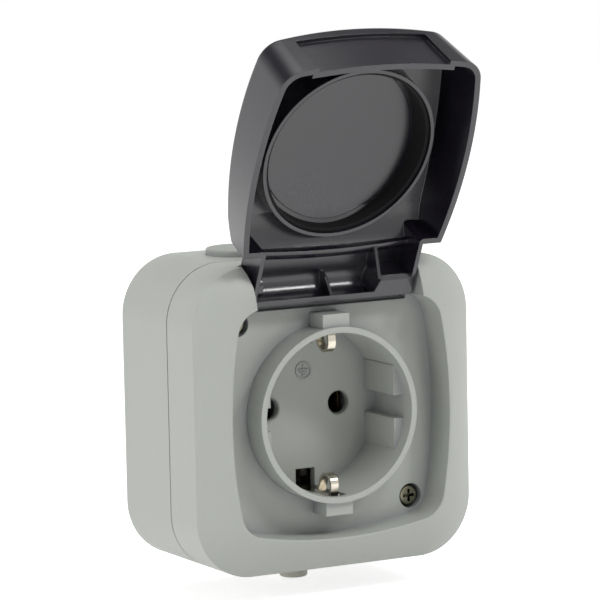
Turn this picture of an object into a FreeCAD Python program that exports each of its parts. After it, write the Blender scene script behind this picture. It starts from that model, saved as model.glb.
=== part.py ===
import FreeCAD, Part
import math
import os

# Surface-mounted weatherproof socket. The wall is the plane y = 0 and the front looks along -Y.
# Every depth below is a distance from the wall, x is to the right and z is up.
# The lid is modelled closed and then turned open on its hinge.

# Housing outline
housing_width = 72.8
housing_height = 72.2
housing_corner = 14.0
housing_wall = 2.4
back_wall = 2.2
back_edge_round = 1.2

# Depths from the wall
well_depth = 32.7
joint_drop = 9.0
joint_gap = 0.3
fold_rise = 4.3
frame_rise = 8.6
collar_rise = 7.3
cup_floor_depth = 22.5

# Opening of the front frame, with bowed sides
opening_width = 57.74
opening_height = 57.08
opening_corner = 6.5
opening_bow = 114.0
opening_land = 0.5
frame_crown_inset = 3.2
frame_crown_rise = 2.5
frame_crown_bow = 230.0
frame_wall = 2.0

# Well, collar and socket cup
well_wall = 1.8
well_floor = 1.7
collar_radius = 20.72
cup_radius = 19.29
cup_floor = 2.0
pin_spacing = 19.0
pin_hole_radius = 2.75
pin_hole_chamfer = 0.35
guide_thickness = 2.89
guide_low = 2.75
guide_high = 9.9
guide_drop = 3.5
lug_half_width = 3.55
lug_overhang = 2.98
lug_drop = 1.0
lug_wall = 1.0
lug_root = 3.0
guide_root = 0.5
guide_trim = 0.3
window_reach = 14.9
symbol_x = 0.0
symbol_z = 8.5
symbol_radius = 2.1
symbol_line = 0.3
symbol_height = 0.25
symbol_sink = 0.2
symbol_stem = 1.2
symbol_bars = ((1.3, 0.2), (0.85, -0.45), (0.4, -1.1))

# Joint between box and cover
tongue_inset = 1.35
tongue_height = 2.3
gasket_height = 1.5
lip_clearance = 0.15

# Cover screws, at opposite corners of the well
cover_screw_inset_x = 6.17
cover_screw_inset_z = 6.24
screw_shank_radius = 1.5
screw_head_radius = 2.6
screw_head_height = 1.9
screw_hole_clearance = 0.2
screw_bite = 0.02
counterbore_clearance = 0.35
counterbore_depth = 2.6
cover_boss_radius = 4.3
cover_boss_drop = 0.5
pillar_radius = 3.8
cover_screw_length = 20.0
cover_pilot_spare = 1.0
screw_tip_share = 0.35
screw_head_round_share = 0.45
recess_length = 3.0
recess_width = 0.7
recess_depth = 1.2

# Hinge, lid and lid stop
hinge_above_opening = 2.96
rim_axis_offset = 3.1
lid_gap = 0.3
open_angle = 154.3
pin_radius = 1.0
pin_clearance = 0.05
pin_seat_clearance = 0.01
pin_end_share = 0.25
pin_grip = 3.0
pin_end_gap = 0.1
pin_stop = 2.0
hinge_shell_radius = 5.1
hinge_shell_wall = 1.1
hinge_half_width = 21.3
ear_wall = 1.0
left_cheek_gap = 0.5
right_cheek_gap = 0.9
cheek_wall = 2.0
cheek_boss_radius = 2.8
recess_drop = 6.6
recess_clearance = 0.4
recess_wall = 1.6
cheek_flare = 2.0
cheek_flare_height = 6.0
cheek_flare_root = 3.0
cheek_flare_belly = 0.3
cheek_flare_belly_height = 0.45

# Lid body, closed
lid_side_gap = 0.62
lid_free_gap = 0.54
lid_neck_length = 9.55
lid_corner = 6.0
lid_side_bow = 114.0
lid_end_bow = 150.0
lid_draft = 0.09
lid_wall = 1.4
lid_side_wall = 1.4
lid_height = 15.4
lid_mid_height = 16.0
lid_shoulder_height = 12.9
lid_shoulder_setback = 5.05
lid_knee_height = 9.6
lid_knee_overrun = 1.05
lid_crown_radius = 211.0
lid_crown_top_z = -6.0
lid_shoulder_swell = 0.3
lid_knee_sag = 0.6
lid_sweep_share = 1.2
crown_edge_share = 0.4
crown_edge_length = 1.0
crown_edge_end = 2.0
lid_edge_round = 1.3
ridge_drop = 6.75
ridge_top = 5.3
ridge_land = 0.35
ridge_run = 3.0
ridge_bow = 216.0
neck_round = 1.0
neck_bite = 0.1

# Lid details
seal_gap = 0.38
seal_wall = 0.9
seal_wall_overlap = 0.5
seal_ring = 0.85
seal_ring_drop = 0.9
disc_radius = 19.2
disc_rise = 0.4
grip_half_width = 17.0
grip_depth = 1.0
grip_height = 12.6
knuckle_left_low = 10.6
knuckle_left_high = 12.4
knuckle_half_height = 3.1
knuckle_top = 1.9
knuckle_chamfer = 0.9
knuckle_ear_bite = 0.8
knuckle_shell_bite = 0.6
inside_floor_bite = 0.5
gusset_start = 0.4
gusset_bite = 0.6
rib_x = -0.4
rib_wall = 0.8
rib_start = 0.1
rib_root_bite = 0.5
rib_waist = 4.9
rib_waist_z = 0.3
rib_back = 2.0
rib_back_z = 3.0
boss_radius = 2.6
left_boss_length = 1.5

# Cable entry and blanking plug, in the bottom and top walls of the box
entry_shift = 0.15
entry_x = 2.0
entry_radius = 7.2
grommet_flange = 1.4
grommet_flange_width = 1.3
grommet_tip_radius = 3.4
grommet_tip_length = 6.5
grommet_tip_straight = 2.0
grommet_skin = 1.0
grommet_cone_inset = 1.0
grommet_tip_round = 0.6
plug_x = -10.7
plug_radius = 6.9
plug_head_radius = 8.0
plug_head = 1.5
plug_head_round = 0.5
plug_snap = 0.3
plug_snap_length = 1.4
plug_hollow = 5.4

# Wall fixing slots
slot_spacing = 55.0
slot_length = 8.0
slot_width = 4.5

# Contact carrier
carrier_half_width = 18.0
carrier_half_height = 18.0
carrier_corner = 4.0
carrier_gap = 0.7
carrier_floor = 1.0
contact_well = 4.2
terminal_depth = 9.0
terminal_top = -7.0
bay_wall = 1.5
rib_half_width = 4.5
rib_depth = 15.0
strap_channel = 2.7
ear_x = 20.0
ear_z = 20.0
ear_radius = 4.4
ear_depth = 10.0
ear_thick = 2.2
ear_clearance = 0.6
ear_pillar_radius = 3.6
carrier_screw_bite = 7.0
carrier_pilot_spare = 0.5

# Contacts, clips and terminals
plug_pin_radius = 2.4
fork_wall = 0.6
fork_half_height = 3.0
fork_gap = 3.0
fork_base = 0.9
spring_wall = 0.4
spring_slack = 0.05
spring_drop = 1.0
spring_length = 6.0
plate_wall = 0.8
plate_half = 4.0
terminal_z = -12.5
link_wall = 0.6
link_drop = 0.3
link_length = 4.0
link_reach = 1.5
link_bite = 0.5
plate_gap = 0.2
strap_wall = 0.7
strap_half_width = 2.5
riser_half_width = 2.0
clip_half_width = 1.0
clip_shoulder = 1.5
clip_back_gap = 2.4
clip_front_gap = 1.2
clip_root_gap = 0.9
clip_lean = 0.6
clip_slope = 0.6
clip_reach = 5.5
clip_nose_length = 4.4
clip_nose_lean = 0.3
clip_tail_reach = 4.2
clip_tail_length = 2.2
clip_bend = 2.2
clip_nose_bend = 3.0
clip_root_bend = 1.2
clamp_wall = 1.0
clamp_half = 3.4
terminal_screw_radius = 1.75
terminal_head_radius = 2.9
terminal_head_height = 2.3
terminal_screw_reach = 3.6
terminal_slot = 0.8
nut_half = 3.1
nut_wall = 1.6
nut_clearance = 0.1

# Places worked out from the sizes above
box_depth = well_depth - joint_drop
fold_depth = well_depth + fold_rise
frame_depth = well_depth + frame_rise
collar_depth = well_depth + collar_rise
half_width = housing_width / 2
half_height = housing_height / 2
open_half_w = opening_width / 2
open_half_h = opening_height / 2
hinge_z = open_half_h + hinge_above_opening
recess_bottom = hinge_z - recess_drop
cover_screw_x = open_half_w - cover_screw_inset_x
cover_screw_z = open_half_h - cover_screw_inset_z
cup_back = cup_floor_depth - cup_floor
guide_reach = cup_radius - guide_thickness
guide_depth = collar_depth - guide_drop
lug_reach = collar_radius + lug_overhang
lug_depth = collar_depth - lug_drop
rim_closed = well_depth + lid_gap
hinge_depth = rim_closed + rim_axis_offset
left_cheek = -(hinge_half_width + left_cheek_gap)
right_cheek = hinge_half_width + right_cheek_gap
shell_inner = hinge_shell_radius - hinge_shell_wall
neck_half_width = hinge_half_width - ear_wall
left_boss_end = ear_wall - hinge_half_width + left_boss_length
shell_height = rim_axis_offset + hinge_shell_radius
lid_half_width = open_half_w - lid_side_gap
lid_free_end = lid_free_gap - open_half_h
lid_hinge_end = hinge_z - lid_neck_length
lid_shoulder_z = lid_hinge_end - lid_shoulder_setback
lid_knee_z = lid_hinge_end + lid_knee_overrun
ridge_z = hinge_z - ridge_drop
seal_inner = collar_radius + seal_gap
seal_wall_radius = seal_inner + seal_wall
seal_wall_height = collar_depth - seal_wall_overlap - rim_closed
cover_back = box_depth + joint_gap
pilot_radius = screw_shank_radius + screw_bite
contact_x = pin_spacing / 2
lug_inside = lug_half_width - lug_wall
carrier_back = back_wall
carrier_depth = cup_back - carrier_gap
fork_depth = cup_back - fork_gap
spring_depth = fork_depth - spring_drop
clip_outer_z = lug_reach - lug_wall - clip_back_gap
clip_rise_z = clip_outer_z - clip_lean
clip_root_z = clip_outer_z - clip_root_gap
clip_top_depth = lug_depth - lug_wall - clip_front_gap
clip_nose_z = clip_outer_z - clip_reach
clip_nose_depth = clip_top_depth - clip_nose_length
clip_tail_z = clip_nose_z + clip_tail_reach
clip_tail_depth = clip_nose_depth - clip_tail_length
entry_depth = box_depth / 2 + entry_shift
entry_z = -half_height
corners = ((-cover_screw_x, cover_screw_z), (cover_screw_x, -cover_screw_z))
carrier_corners = ((ear_x, ear_z), (-ear_x, -ear_z))
Vec = FreeCAD.Vector
FRONT = Vec(0, -1, 0)
diagonal = math.sqrt(0.5)

# Reach of the cutting tools: past the face that they open, and past everything
over = 1.0
far = 60.0

# Widths too small to see, that keep two faces apart or find an edge
hair = 0.001
edge_near = 0.01


def at(x, depth, z):
    return Vec(x, -depth, z)


def block(x_low, x_high, depth_low, depth_high, z_low, z_high):
    corner = at(x_low, depth_high, z_low)
    return Part.makeBox(x_high - x_low, depth_high - depth_low, z_high - z_low, corner)


def rod(x, z, radius, depth_low, depth_high):
    return Part.makeCylinder(radius, depth_high - depth_low, at(x, depth_low, z), FRONT)


def cross_rod(x_low, x_high, radius):
    return Part.makeCylinder(radius, x_high - x_low, at(x_low, hinge_depth, hinge_z), Vec(1, 0, 0))


def upright(x, radius, z_low, z_high):
    return Part.makeCylinder(radius, z_high - z_low, at(x, entry_depth, z_low), Vec(0, 0, 1))


def arc(start, middle, end):
    return Part.Arc(start, middle, end).toShape()


def line(start, end):
    return Part.LineSegment(start, end).toShape()


def prism(wire, depth):
    """Solid from an outline, drawn forward by a depth."""
    return Part.Face(wire).extrude(FRONT * depth)


def section_face(steps, x):
    """Face from a (depth, z) section. A step of four numbers is an arc."""
    places = [at(x, step[-2], step[-1]) for step in steps]
    edges = []
    for index, step in enumerate(steps[1:]):
        start, end = places[index], places[index + 1]
        if len(step) == 4:
            edges.append(arc(start, at(x, step[0], step[1]), end))
        else:
            edges.append(line(start, end))
    edges.append(line(places[-1], places[0]))
    return Part.Face(Part.Wire(edges))


def section(steps, x_low, x_high):
    """Solid from a (depth, z) section, drawn along x."""
    return section_face(steps, x_low).extrude(Vec(x_high - x_low, 0, 0))


def swept_about(face, place, direction, half_width, radius):
    """Solid that a face at x = 0 leaves when it swings to both sides about an axis far away."""
    sweep = math.degrees(math.asin(half_width / radius))
    face.rotate(place, direction, -sweep)
    return face.revolve(place, direction, 2 * sweep)


def circles_meet(first, first_radius, second, second_radius, x_sign, z_sign):
    """The point furthest towards one quadrant where two circles in the x-z plane cross."""
    dx, dz = second[0] - first[0], second[1] - first[1]
    gap = math.hypot(dx, dz)
    along = (first_radius ** 2 - second_radius ** 2 + gap ** 2) / (2 * gap)
    across = math.sqrt(first_radius ** 2 - along ** 2)
    found = []
    for sign in (1, -1):
        x = first[0] + (along * dx - sign * across * dz) / gap
        z = first[1] + (along * dz + sign * across * dx) / gap
        found.append((x, z))
    return max(found, key=lambda place: x_sign * place[0] + z_sign * place[1])


def toward(start, goal, length):
    dx, dz = goal[0] - start[0], goal[1] - start[1]
    size = math.hypot(dx, dz)
    return (start[0] + dx * length / size, start[1] + dz * length / size)


def rounded_corner(side_centre, side_radius, end_centre, end_radius, corner, x_sign, z_sign):
    """Start, middle and end of a corner arc that is tangent inside two large arcs."""
    centre = circles_meet(side_centre, side_radius - corner, end_centre, end_radius - corner, x_sign, z_sign)
    start = toward(side_centre, centre, side_radius)
    end = toward(end_centre, centre, end_radius)
    between = ((start[0] + end[0]) / 2, (start[1] + end[1]) / 2)
    return start, toward(centre, between, corner), end


def bowed_outline(half_w, half_h, corner, bow, depth):
    """Closed outline of four bowed sides and four round corners."""
    start, middle, end = rounded_corner((half_w - bow, 0), bow, (0, half_h - bow), bow, corner, 1, 1)
    edges = []
    for turn_x, turn_z in ((1, 1), (-1, 1), (-1, -1), (1, -1)):
        corner_places = [at(turn_x * x, depth, turn_z * z) for x, z in (start, middle, end)]
        edges.append(arc(*corner_places))
    side_top, side_bottom = at(start[0], depth, start[1]), at(start[0], depth, -start[1])
    left_top, left_bottom = at(-start[0], depth, start[1]), at(-start[0], depth, -start[1])
    end_right, end_left = at(end[0], depth, end[1]), at(-end[0], depth, end[1])
    low_right, low_left = at(end[0], depth, -end[1]), at(-end[0], depth, -end[1])
    right = arc(side_bottom, at(half_w, depth, 0), side_top)
    top = arc(end_right, at(0, depth, half_h), end_left)
    left = arc(left_top, at(-half_w, depth, 0), left_bottom)
    bottom = arc(low_left, at(0, depth, -half_h), low_right)
    return Part.Wire([right, edges[0], top, edges[1], left, edges[2], bottom, edges[3]])


def plain_outline(inset, depth):
    """Outline of the housing, moved in by an inset, with straight sides and round corners."""
    w, h, r = half_width - inset, half_height - inset, housing_corner - inset
    slant = r * (1 - diagonal)
    right = line(at(w, depth, r - h), at(w, depth, h - r))
    top_right = arc(at(w, depth, h - r), at(w - slant, depth, h - slant), at(w - r, depth, h))
    top = line(at(w - r, depth, h), at(r - w, depth, h))
    top_left = arc(at(r - w, depth, h), at(slant - w, depth, h - slant), at(-w, depth, h - r))
    left = line(at(-w, depth, h - r), at(-w, depth, r - h))
    low_left = arc(at(-w, depth, r - h), at(slant - w, depth, slant - h), at(r - w, depth, -h))
    bottom = line(at(r - w, depth, -h), at(w - r, depth, -h))
    low_right = arc(at(w - r, depth, -h), at(w - slant, depth, slant - h), at(w, depth, r - h))
    return Part.Wire([right, top_right, top, top_left, left, low_left, bottom, low_right])


def opening_outline(outset, depth):
    return bowed_outline(open_half_w + outset, open_half_h + outset, opening_corner + outset,
                         opening_bow + outset, depth)


def housing_prism(inset, depth_low, depth_high):
    return prism(plain_outline(inset, depth_low), depth_high - depth_low)


def opening_prism(outset, depth_low, depth_high):
    return prism(opening_outline(outset, depth_low), depth_high - depth_low)


def crown_outline(inset, depth):
    """Outline halfway up the pillowed front of the frame."""
    corner = (housing_corner + opening_corner) / 2
    return bowed_outline(half_width - inset, half_height - inset, corner, frame_crown_bow, depth)


def frame_front():
    sections = [plain_outline(0, fold_depth),
                crown_outline(frame_crown_inset, fold_depth + frame_crown_rise),
                opening_outline(opening_land, frame_depth)]
    return Part.makeLoft(sections, True, False)


def frame_hollow():
    """Room behind the pillowed front, one wall thinner."""
    start = fold_depth - frame_wall
    sections = [plain_outline(housing_wall, start),
                opening_outline(well_wall, frame_depth - frame_wall)]
    return Part.makeLoft(sections, True, True)


def lid_outline(height, inset):
    """Outline of the closed lid at a height above its rim."""
    depth = rim_closed + height
    half_w = lid_half_width - lid_draft * height - inset
    free, top = lid_free_end + inset, lid_hinge_end - inset
    side_bow, end_bow, corner = lid_side_bow - inset, lid_end_bow - inset, lid_corner - inset
    side_centre, end_centre = (half_w - side_bow, 0), (0, free + end_bow)
    start, middle, end = rounded_corner(side_centre, side_bow, end_centre, end_bow, corner, 1, -1)
    top_x = side_centre[0] + math.sqrt(side_bow ** 2 - top ** 2)
    right_top, left_top = at(top_x, depth, top), at(-top_x, depth, top)
    right_low, left_low = at(start[0], depth, start[1]), at(-start[0], depth, start[1])
    end_right, end_left = at(end[0], depth, end[1]), at(-end[0], depth, end[1])
    return Part.Wire([
        arc(right_low, at(half_w, depth, 0), right_top),
        line(right_top, left_top),
        arc(left_top, at(-half_w, depth, 0), left_low),
        arc(left_low, at(-middle[0], depth, middle[1]), end_left),
        arc(end_left, at(0, depth, free), end_right),
        arc(end_right, at(middle[0], depth, middle[1]), right_low)])


def lid_loft(inset, low):
    high = lid_mid_height + lid_wall
    return Part.makeLoft([lid_outline(low, inset), lid_outline(high, inset)], True, True)


def crown_solid(drop):
    """All that lies under the doubly curved outer face of the closed lid, less a drop."""
    base = rim_closed - drop
    low = base - lid_height
    free = lid_free_end - lid_corner
    hinge_side = lid_knee_z + lid_corner
    knee_depth = base + (shell_height + lid_knee_height) / 2 - lid_knee_sag
    knee_z = (hinge_side + lid_knee_z) / 2
    edges = [
        line(at(0, low, hinge_side), at(0, low, free)),
        line(at(0, low, free), at(0, base + lid_height, free)),
        arc(at(0, base + lid_height, free), at(0, base + lid_mid_height, lid_crown_top_z),
            at(0, base + lid_shoulder_height, lid_shoulder_z)),
        arc(at(0, base + lid_shoulder_height, lid_shoulder_z),
            at(0, base + (lid_shoulder_height + lid_knee_height) / 2 + lid_shoulder_swell,
               (lid_shoulder_z + lid_knee_z) / 2),
            at(0, base + lid_knee_height, lid_knee_z)),
        arc(at(0, base + lid_knee_height, lid_knee_z), at(0, knee_depth, knee_z),
            at(0, base + shell_height, hinge_side)),
        line(at(0, base + shell_height, hinge_side), at(0, low, hinge_side))]
    axis_place = at(0, base + lid_height - lid_crown_radius, 0)
    return swept_about(Part.Face(Part.Wire(edges)), axis_place, Vec(0, 0, 1),
                       lid_sweep_share * lid_half_width, lid_crown_radius)


def turn_open(shape):
    shape.rotate(at(0, hinge_depth, hinge_z), Vec(1, 0, 0), -open_angle)
    return shape


def ribbon(route, bends, wall, x_low, x_high):
    """Bent strip along a (depth, z) route, rounded at its inner points."""
    sides = []
    for side in (1, -1):
        offset = side * wall / 2
        edges = []
        last = None
        for index in range(len(route) - 1):
            start, end = route[index], route[index + 1]
            run = (end[0] - start[0], end[1] - start[1])
            size = math.hypot(*run)
            ahead = (run[0] / size, run[1] / size)
            normal = (-ahead[1] * offset, ahead[0] * offset)
            begin = last if last else (start[0] + normal[0], start[1] + normal[1])
            if index == len(route) - 2:
                edges.append(line(at(x_low, *begin), at(x_low, end[0] + normal[0], end[1] + normal[1])))
                break
            after = route[index + 2]
            following = (after[0] - end[0], after[1] - end[1])
            size = math.hypot(*following)
            onward = (following[0] / size, following[1] / size)
            cross = ahead[0] * onward[1] - ahead[1] * onward[0]
            turn = math.atan2(cross, ahead[0] * onward[0] + ahead[1] * onward[1])
            cut = bends[index] * math.tan(abs(turn) / 2)
            hand = 1 if turn > 0 else -1
            first = (end[0] - ahead[0] * cut, end[1] - ahead[1] * cut)
            centre = (first[0] - ahead[1] * bends[index] * hand, first[1] + ahead[0] * bends[index] * hand)
            radius = bends[index] - hand * offset
            leave = (end[0] + onward[0] * cut, end[1] + onward[1] * cut)
            arc_start = toward(centre, first, radius)
            arc_end = toward(centre, leave, radius)
            arc_middle = toward(centre, end, radius)
            edges.append(line(at(x_low, *begin), at(x_low, *arc_start)))
            edges.append(arc(at(x_low, *arc_start), at(x_low, *arc_middle), at(x_low, *arc_end)))
            last = arc_end
        sides.append(edges)
    left, right = sides
    caps = [line(left[0].Vertexes[0].Point, right[0].Vertexes[0].Point),
            line(left[-1].Vertexes[-1].Point, right[-1].Vertexes[-1].Point)]
    outline = Part.Wire(Part.__sortEdges__(left + right + caps))
    return Part.Face(outline).extrude(Vec(x_high - x_low, 0, 0))


def mirrored_z(shape):
    return shape.mirror(Vec(0, 0, 0), Vec(0, 0, 1))


def chamfered_hole(x, radius):
    low, high = cup_back - over, cup_floor_depth
    hole = rod(x, 0, radius, low, high + over)
    mouth = Part.makeCone(radius, radius + pin_hole_chamfer, pin_hole_chamfer,
                          at(x, high - pin_hole_chamfer, 0), FRONT)
    return hole.fuse(mouth)


def earth_symbol():
    """Standard earth sign in a ring, raised on the cup floor."""
    low = cup_floor_depth - symbol_sink
    high = cup_floor_depth + symbol_height
    ring = rod(symbol_x, symbol_z, symbol_radius, low, high)
    ring = ring.cut(rod(symbol_x, symbol_z, symbol_radius - symbol_line, low - over, high + over))
    foot = symbol_z + symbol_bars[0][1]
    marks = [ring, block(symbol_x - symbol_line / 2, symbol_x + symbol_line / 2, low, high,
                         foot, foot + symbol_stem)]
    for half, z in symbol_bars:
        marks.append(block(symbol_x - half, symbol_x + half, low, high,
                           symbol_z + z - symbol_line / 2, symbol_z + z + symbol_line / 2))
    return marks[0].multiFuse(marks[1:])


def hinge_recess():
    """Notch for the lid's hinge. Its sloping back is the stop of the open lid."""
    turn = math.radians(180 - open_angle)
    out_y, out_z = math.cos(turn), math.sin(turn)
    reach = hinge_shell_radius + lid_gap
    slope = out_y / out_z
    stop_depth, stop_z = hinge_depth - out_y * reach, hinge_z + out_z * reach
    floor = hinge_depth - hinge_shell_radius - recess_clearance
    rise = (floor - stop_depth) * slope
    top = half_height + 3 * over
    steps = [(far, recess_bottom), (floor, recess_bottom), (floor, stop_z + rise),
             (stop_depth + (top - stop_z) / slope, top), (far, top)]
    return section(steps, left_cheek, right_cheek)


def cheek_flare_cut():
    """The left cheek curves away from the lid near the top."""
    top, depth = half_height + over, fold_depth - cheek_flare_root
    low = top - cheek_flare_height
    foot, inner, outer = at(left_cheek, depth, low), at(left_cheek, depth, top), left_cheek - cheek_flare
    belly = at(left_cheek - cheek_flare * cheek_flare_belly, depth,
               low + cheek_flare_height * cheek_flare_belly_height)
    edges = [line(foot, inner), line(inner, at(outer, depth, top)), arc(at(outer, depth, top), belly, foot)]
    return prism(Part.Wire(edges), far)


def build_back_box():
    shell = housing_prism(0, 0, box_depth)
    rear_edges = [edge for edge in shell.Edges if edge.BoundBox.YMin > -edge_near]
    shell = shell.makeFillet(back_edge_round, rear_edges)
    shell = shell.cut(housing_prism(housing_wall, back_wall, box_depth + over))
    tongue = housing_prism(tongue_inset, box_depth - over, box_depth + tongue_height)
    tongue = tongue.cut(housing_prism(housing_wall, box_depth - 2 * over, box_depth + tongue_height + over))
    pieces = [tongue]
    for x, z in corners:
        pieces.append(rod(x, z, pillar_radius, back_wall - over, cover_back))
    for x, z in carrier_corners:
        pieces.append(rod(x, z, ear_pillar_radius, back_wall - over, ear_depth))
    box = shell.multiFuse(pieces)
    cuts = []
    head_seat = well_depth - counterbore_depth
    for x, z in corners:
        cuts.append(rod(x, z, pilot_radius, head_seat - cover_screw_length - cover_pilot_spare, far))
    for x, z in carrier_corners:
        cuts.append(rod(x, z, pilot_radius, ear_depth - carrier_screw_bite - carrier_pilot_spare, far))
    for side in (1, -1):
        x = side * slot_spacing / 2
        straight = (slot_length - slot_width) / 2
        cuts.append(block(x - straight, x + straight, -over, back_wall + over,
                          -slot_width / 2, slot_width / 2))
        for end in (1, -1):
            cuts.append(rod(x + end * straight, 0, slot_width / 2, -over, back_wall + over))
    cuts.append(upright(entry_x, entry_radius, -far, -half_height + housing_wall + 2 * over))
    cuts.append(upright(plug_x, plug_radius + plug_snap / 2, half_height - housing_wall - 2 * over, far))
    return box.cut(cuts)


def build_gasket():
    low = box_depth + tongue_height
    ring = housing_prism(tongue_inset, low, low + gasket_height)
    return ring.cut(housing_prism(housing_wall, low - over, low + gasket_height + over))


def cup_form():
    """Closed outer form of the socket cup, its collar and the two lugs."""
    form = rod(0, 0, collar_radius, cup_back, collar_depth)
    for side in (1, -1):
        low, high = sorted((side * (collar_radius - lug_root), side * lug_reach))
        form = form.fuse(block(-lug_half_width, lug_half_width, cup_back, lug_depth, low, high))
    return form


def build_cup():
    """Socket cup with its collar, guide blocks and the lugs that house the earth clips."""
    cup = cup_form().cut(rod(0, 0, cup_radius, cup_floor_depth, far))
    inside = rod(0, 0, collar_radius - guide_trim, cup_back, collar_depth)
    guides = []
    for side in (1, -1):
        for up in (1, -1):
            x_low, x_high = sorted((side * guide_reach, side * (collar_radius - guide_root)))
            z_low, z_high = sorted((up * guide_low, up * guide_high))
            guide = block(x_low, x_high, cup_floor_depth - guide_root, guide_depth, z_low, z_high)
            guides.append(guide.common(inside))
    cup = cup.multiFuse(guides).fuse(earth_symbol())
    cuts = [chamfered_hole(x, pin_hole_radius) for x in (-contact_x, contact_x)]
    for side in (1, -1):
        low, high = sorted((side * window_reach, side * (lug_reach - lug_wall)))
        cuts.append(block(-lug_inside, lug_inside, cup_back - over, lug_depth - lug_wall, low, high))
    return cup.cut(cuts)


def build_front_cover():
    """Frame, well and hinge cheeks. The cup's form is cut from the floor of the well."""
    skirt = housing_prism(0, cover_back, fold_depth)
    outer = skirt.fuse(frame_front()).removeSplitter()
    hollow = housing_prism(housing_wall, cover_back - over, fold_depth - frame_wall).fuse(frame_hollow())
    shell = outer.cut(hollow)
    floor_back = well_depth - well_floor
    well = opening_prism(well_wall, floor_back, frame_depth + over)
    cheeks = block(left_cheek - cheek_wall, right_cheek + cheek_wall,
                   hinge_depth - hinge_shell_radius - recess_clearance - recess_wall, far,
                   recess_bottom - recess_wall, half_height)
    pieces = [well.common(outer), cheeks.common(outer)]
    pieces.append(cross_rod(left_cheek - pin_grip - over, left_cheek, cheek_boss_radius))
    pieces.append(cross_rod(right_cheek, right_cheek + pin_grip + over, cheek_boss_radius))
    for x, z in corners:
        pieces.append(rod(x, z, cover_boss_radius, cover_back, well_depth - cover_boss_drop))
    cover = shell.multiFuse(pieces)
    cover = cover.cut(opening_prism(0, well_depth, far))
    cover = cover.cut([hinge_recess(), cheek_flare_cut(), cup_form()])
    joint_top = box_depth + tongue_height + gasket_height
    rebate = housing_prism(tongue_inset - lip_clearance, cover_back - over, joint_top)
    cuts = [rebate.cut(housing_prism(housing_wall + hair, cover_back - 2 * over, far))]
    for x, z in corners:
        seat = well_depth - counterbore_depth
        cuts.append(rod(x, z, screw_shank_radius + screw_hole_clearance, cover_back - over, far))
        cuts.append(rod(x, z, screw_head_radius + counterbore_clearance, seat, far))
    cuts.append(cross_rod(left_cheek - pin_grip, left_cheek + over, pin_radius + pin_seat_clearance))
    cuts.append(cross_rod(right_cheek - over, right_cheek + pin_grip, pin_radius + pin_seat_clearance))
    return cover.cut(cuts)


def screw(x, z, shank_radius, tip, seat, head_radius, head_height, cross):
    """Pan-head screw, pointing to the wall, with a cross recess or a slot."""
    body = rod(x, z, shank_radius, tip, seat + head_height / 2)
    tip_edges = [edge for edge in body.Edges if edge.BoundBox.YMin > -tip - edge_near]
    body = body.makeChamfer(shank_radius * screw_tip_share, tip_edges)
    head = rod(x, z, head_radius, seat, seat + head_height)
    top_edges = [edge for edge in head.Edges if edge.BoundBox.YMax < -(seat + head_height) + edge_near]
    head = head.makeFillet(head_height * screw_head_round_share, top_edges)
    body = body.fuse(head)
    top = seat + head_height
    if cross:
        for half_x, half_z in ((recess_length / 2, recess_width / 2), (recess_width / 2, recess_length / 2)):
            body = body.cut(block(x - half_x, x + half_x, top - recess_depth, top + over,
                                  z - half_z, z + half_z))
    else:
        body = body.cut(block(x - far, x + far, top - terminal_slot, top + over,
                              z - terminal_slot / 2, z + terminal_slot / 2))
    return body


def build_cover_screws():
    seat = well_depth - counterbore_depth
    return [screw(x, z, screw_shank_radius, seat - cover_screw_length, seat, screw_head_radius,
                  screw_head_height, True) for x, z in corners]


def build_carrier_screws():
    seat = ear_depth + ear_thick
    return [screw(x, z, screw_shank_radius, ear_depth - carrier_screw_bite, seat, screw_head_radius,
                  screw_head_height, True) for x, z in carrier_corners]


def ridge_section(steps):
    """Solid from a (depth, z) section, drawn between the ears along the bow of the ridge."""
    body = swept_about(section_face(steps, 0), at(0, 0, ridge_z - ridge_bow), FRONT, hinge_half_width,
                       ridge_bow - ridge_z)
    return body.common(block(-neck_half_width, neck_half_width, 0, far, 0, far))


def neck_corner(side):
    """Rounds the corner where the inside of the lid narrows between its ears."""
    x, z = side * neck_half_width, lid_hinge_end - lid_side_wall
    low, high = sorted((x - side * neck_bite, x + side * neck_round))
    corner = block(low, high, rim_closed - over, far, z - neck_bite, z + neck_round)
    return corner.cut(rod(x + side * neck_round, z + neck_round, neck_round, 0, far))


def lid_cavity():
    """Inside of the lid up to the ridge, with its wall moved in behind the finger recess."""
    main = lid_loft(lid_side_wall, -over)
    behind_grip = block(-grip_half_width - lid_side_wall, grip_half_width + lid_side_wall,
                        rim_closed - 2 * over, far, -far, -lug_reach)
    main = main.cut(behind_grip.cut(lid_loft(lid_side_wall + grip_depth, -over)))
    low, high = rim_closed - over, far - over
    neck = ridge_section([(low, 0), (high, 0), (high, ridge_z), (low, ridge_z)])
    return main.multiFuse([neck, neck_corner(-1), neck_corner(1)]).common(crown_solid(lid_wall))


def lid_shell():
    under = crown_solid(0)
    body = lid_loft(0, 0).common(under)
    rim = rim_closed + lid_height * crown_edge_share
    round_edges = []
    for edge in body.Edges:
        box = edge.BoundBox
        clear_of_hinge = box.ZMin < lid_hinge_end - over
        long_enough = box.DiagonalLength > crown_edge_length
        if -box.YMax > rim and clear_of_hinge and long_enough and edge_lies_on_crown(edge):
            round_edges.append(edge)
    body = body.makeFillet(lid_edge_round, round_edges)
    shoulder = block(-hinge_half_width, hinge_half_width, rim_closed, far,
                     lid_hinge_end - crown_edge_end, hinge_z)
    body = body.fuse(shoulder.common(under))
    grip = block(-grip_half_width, grip_half_width, rim_closed - over, rim_closed + grip_height,
                 -far, -lug_reach)
    return body.cut(grip.cut(lid_loft(grip_depth, -over)))


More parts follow.
